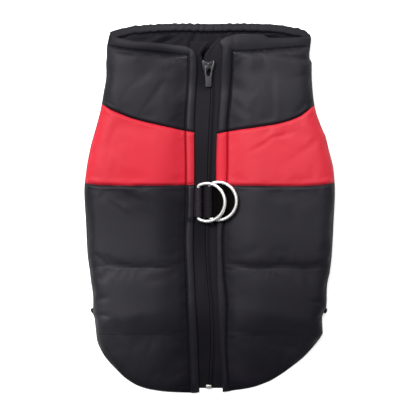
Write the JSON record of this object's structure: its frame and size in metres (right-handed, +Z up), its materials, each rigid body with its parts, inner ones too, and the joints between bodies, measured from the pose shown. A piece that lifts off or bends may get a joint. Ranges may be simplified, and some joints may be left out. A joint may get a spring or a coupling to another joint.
{
  "type": "dog rain jacket",
  "caption": "Padded zip-back dog jacket lying flat, with a stand collar, a bright band, a long rounded back, bound leg holes and D-rings for a lead beside the zip.",
  "frame": {"origin": "centre of the jacket's outline, on the surface that it lies on", "axes": "+Z up, away from the surface, through the back; +Y from the tail hem to the collar; +X to the right, seen from above"},
  "size_m": [0.2404, 0.3548, 0.0195],
  "materials": {
    "black_shell": "smooth coated polyester with a soft sheen",
    "red_shell": "smooth coated polyester with a soft sheen",
    "black_lining": "matte polyester lining",
    "black_elastic": "matte gathered elastic binding",
    "zip_tape": "matte woven tape with a covered coil",
    "webbing": "matte woven webbing",
    "ring_steel": "bright nickel-plated wire",
    "slider_metal": "dark nickel, satin"
  },
  "bodies": {
    "jacket": {"yoke_left": "black_shell", "yoke_right": "black_shell", "band_left": "red_shell", "band_right": "red_shell", "back_left": "black_shell", "back_right": "black_shell", "chest_panel": "black_shell", "throat_panel": "black_lining", "leg_binding_left": "black_elastic", "leg_binding_right": "black_elastic", "belly_binding": "black_elastic", "zip_tape_left": "zip_tape", "zip_tape_right": "zip_tape", "zip_slider": "slider_metal", "zip_stop": "slider_metal", "ring_loop_left": "webbing", "ring_loop_right": "webbing"},
    "upper_ring": {"ring_upper": "ring_steel"},
    "lower_ring": {"ring_lower": "ring_steel"},
    "pull_tab": {"zip_pull": "slider_metal"}
  },
  "joints": [
    {"name": "upper_ring_lift", "type": "hinge", "parent": "jacket", "child": "upper_ring", "pos_m": [-0.011, 0.0066, 0.00975], "axis": [0, -1, 0], "range_deg": [0, 140]},
    {"name": "lower_ring_lift", "type": "hinge", "parent": "jacket", "child": "lower_ring", "pos_m": [-0.0003, 0.008, 0.00975], "axis": [0, -1, 0], "range_deg": [0, 140]},
    {"name": "pull_tab_lift", "type": "hinge", "parent": "jacket", "child": "pull_tab", "pos_m": [-0.00138, 0.13615, 0.0156], "axis": [-1, 0, 0], "range_deg": [0, 150]}
  ],
  "couplings": [
    {"joint": "lower_ring_lift", "follows": "upper_ring_lift", "ratio": 1}
  ]
}
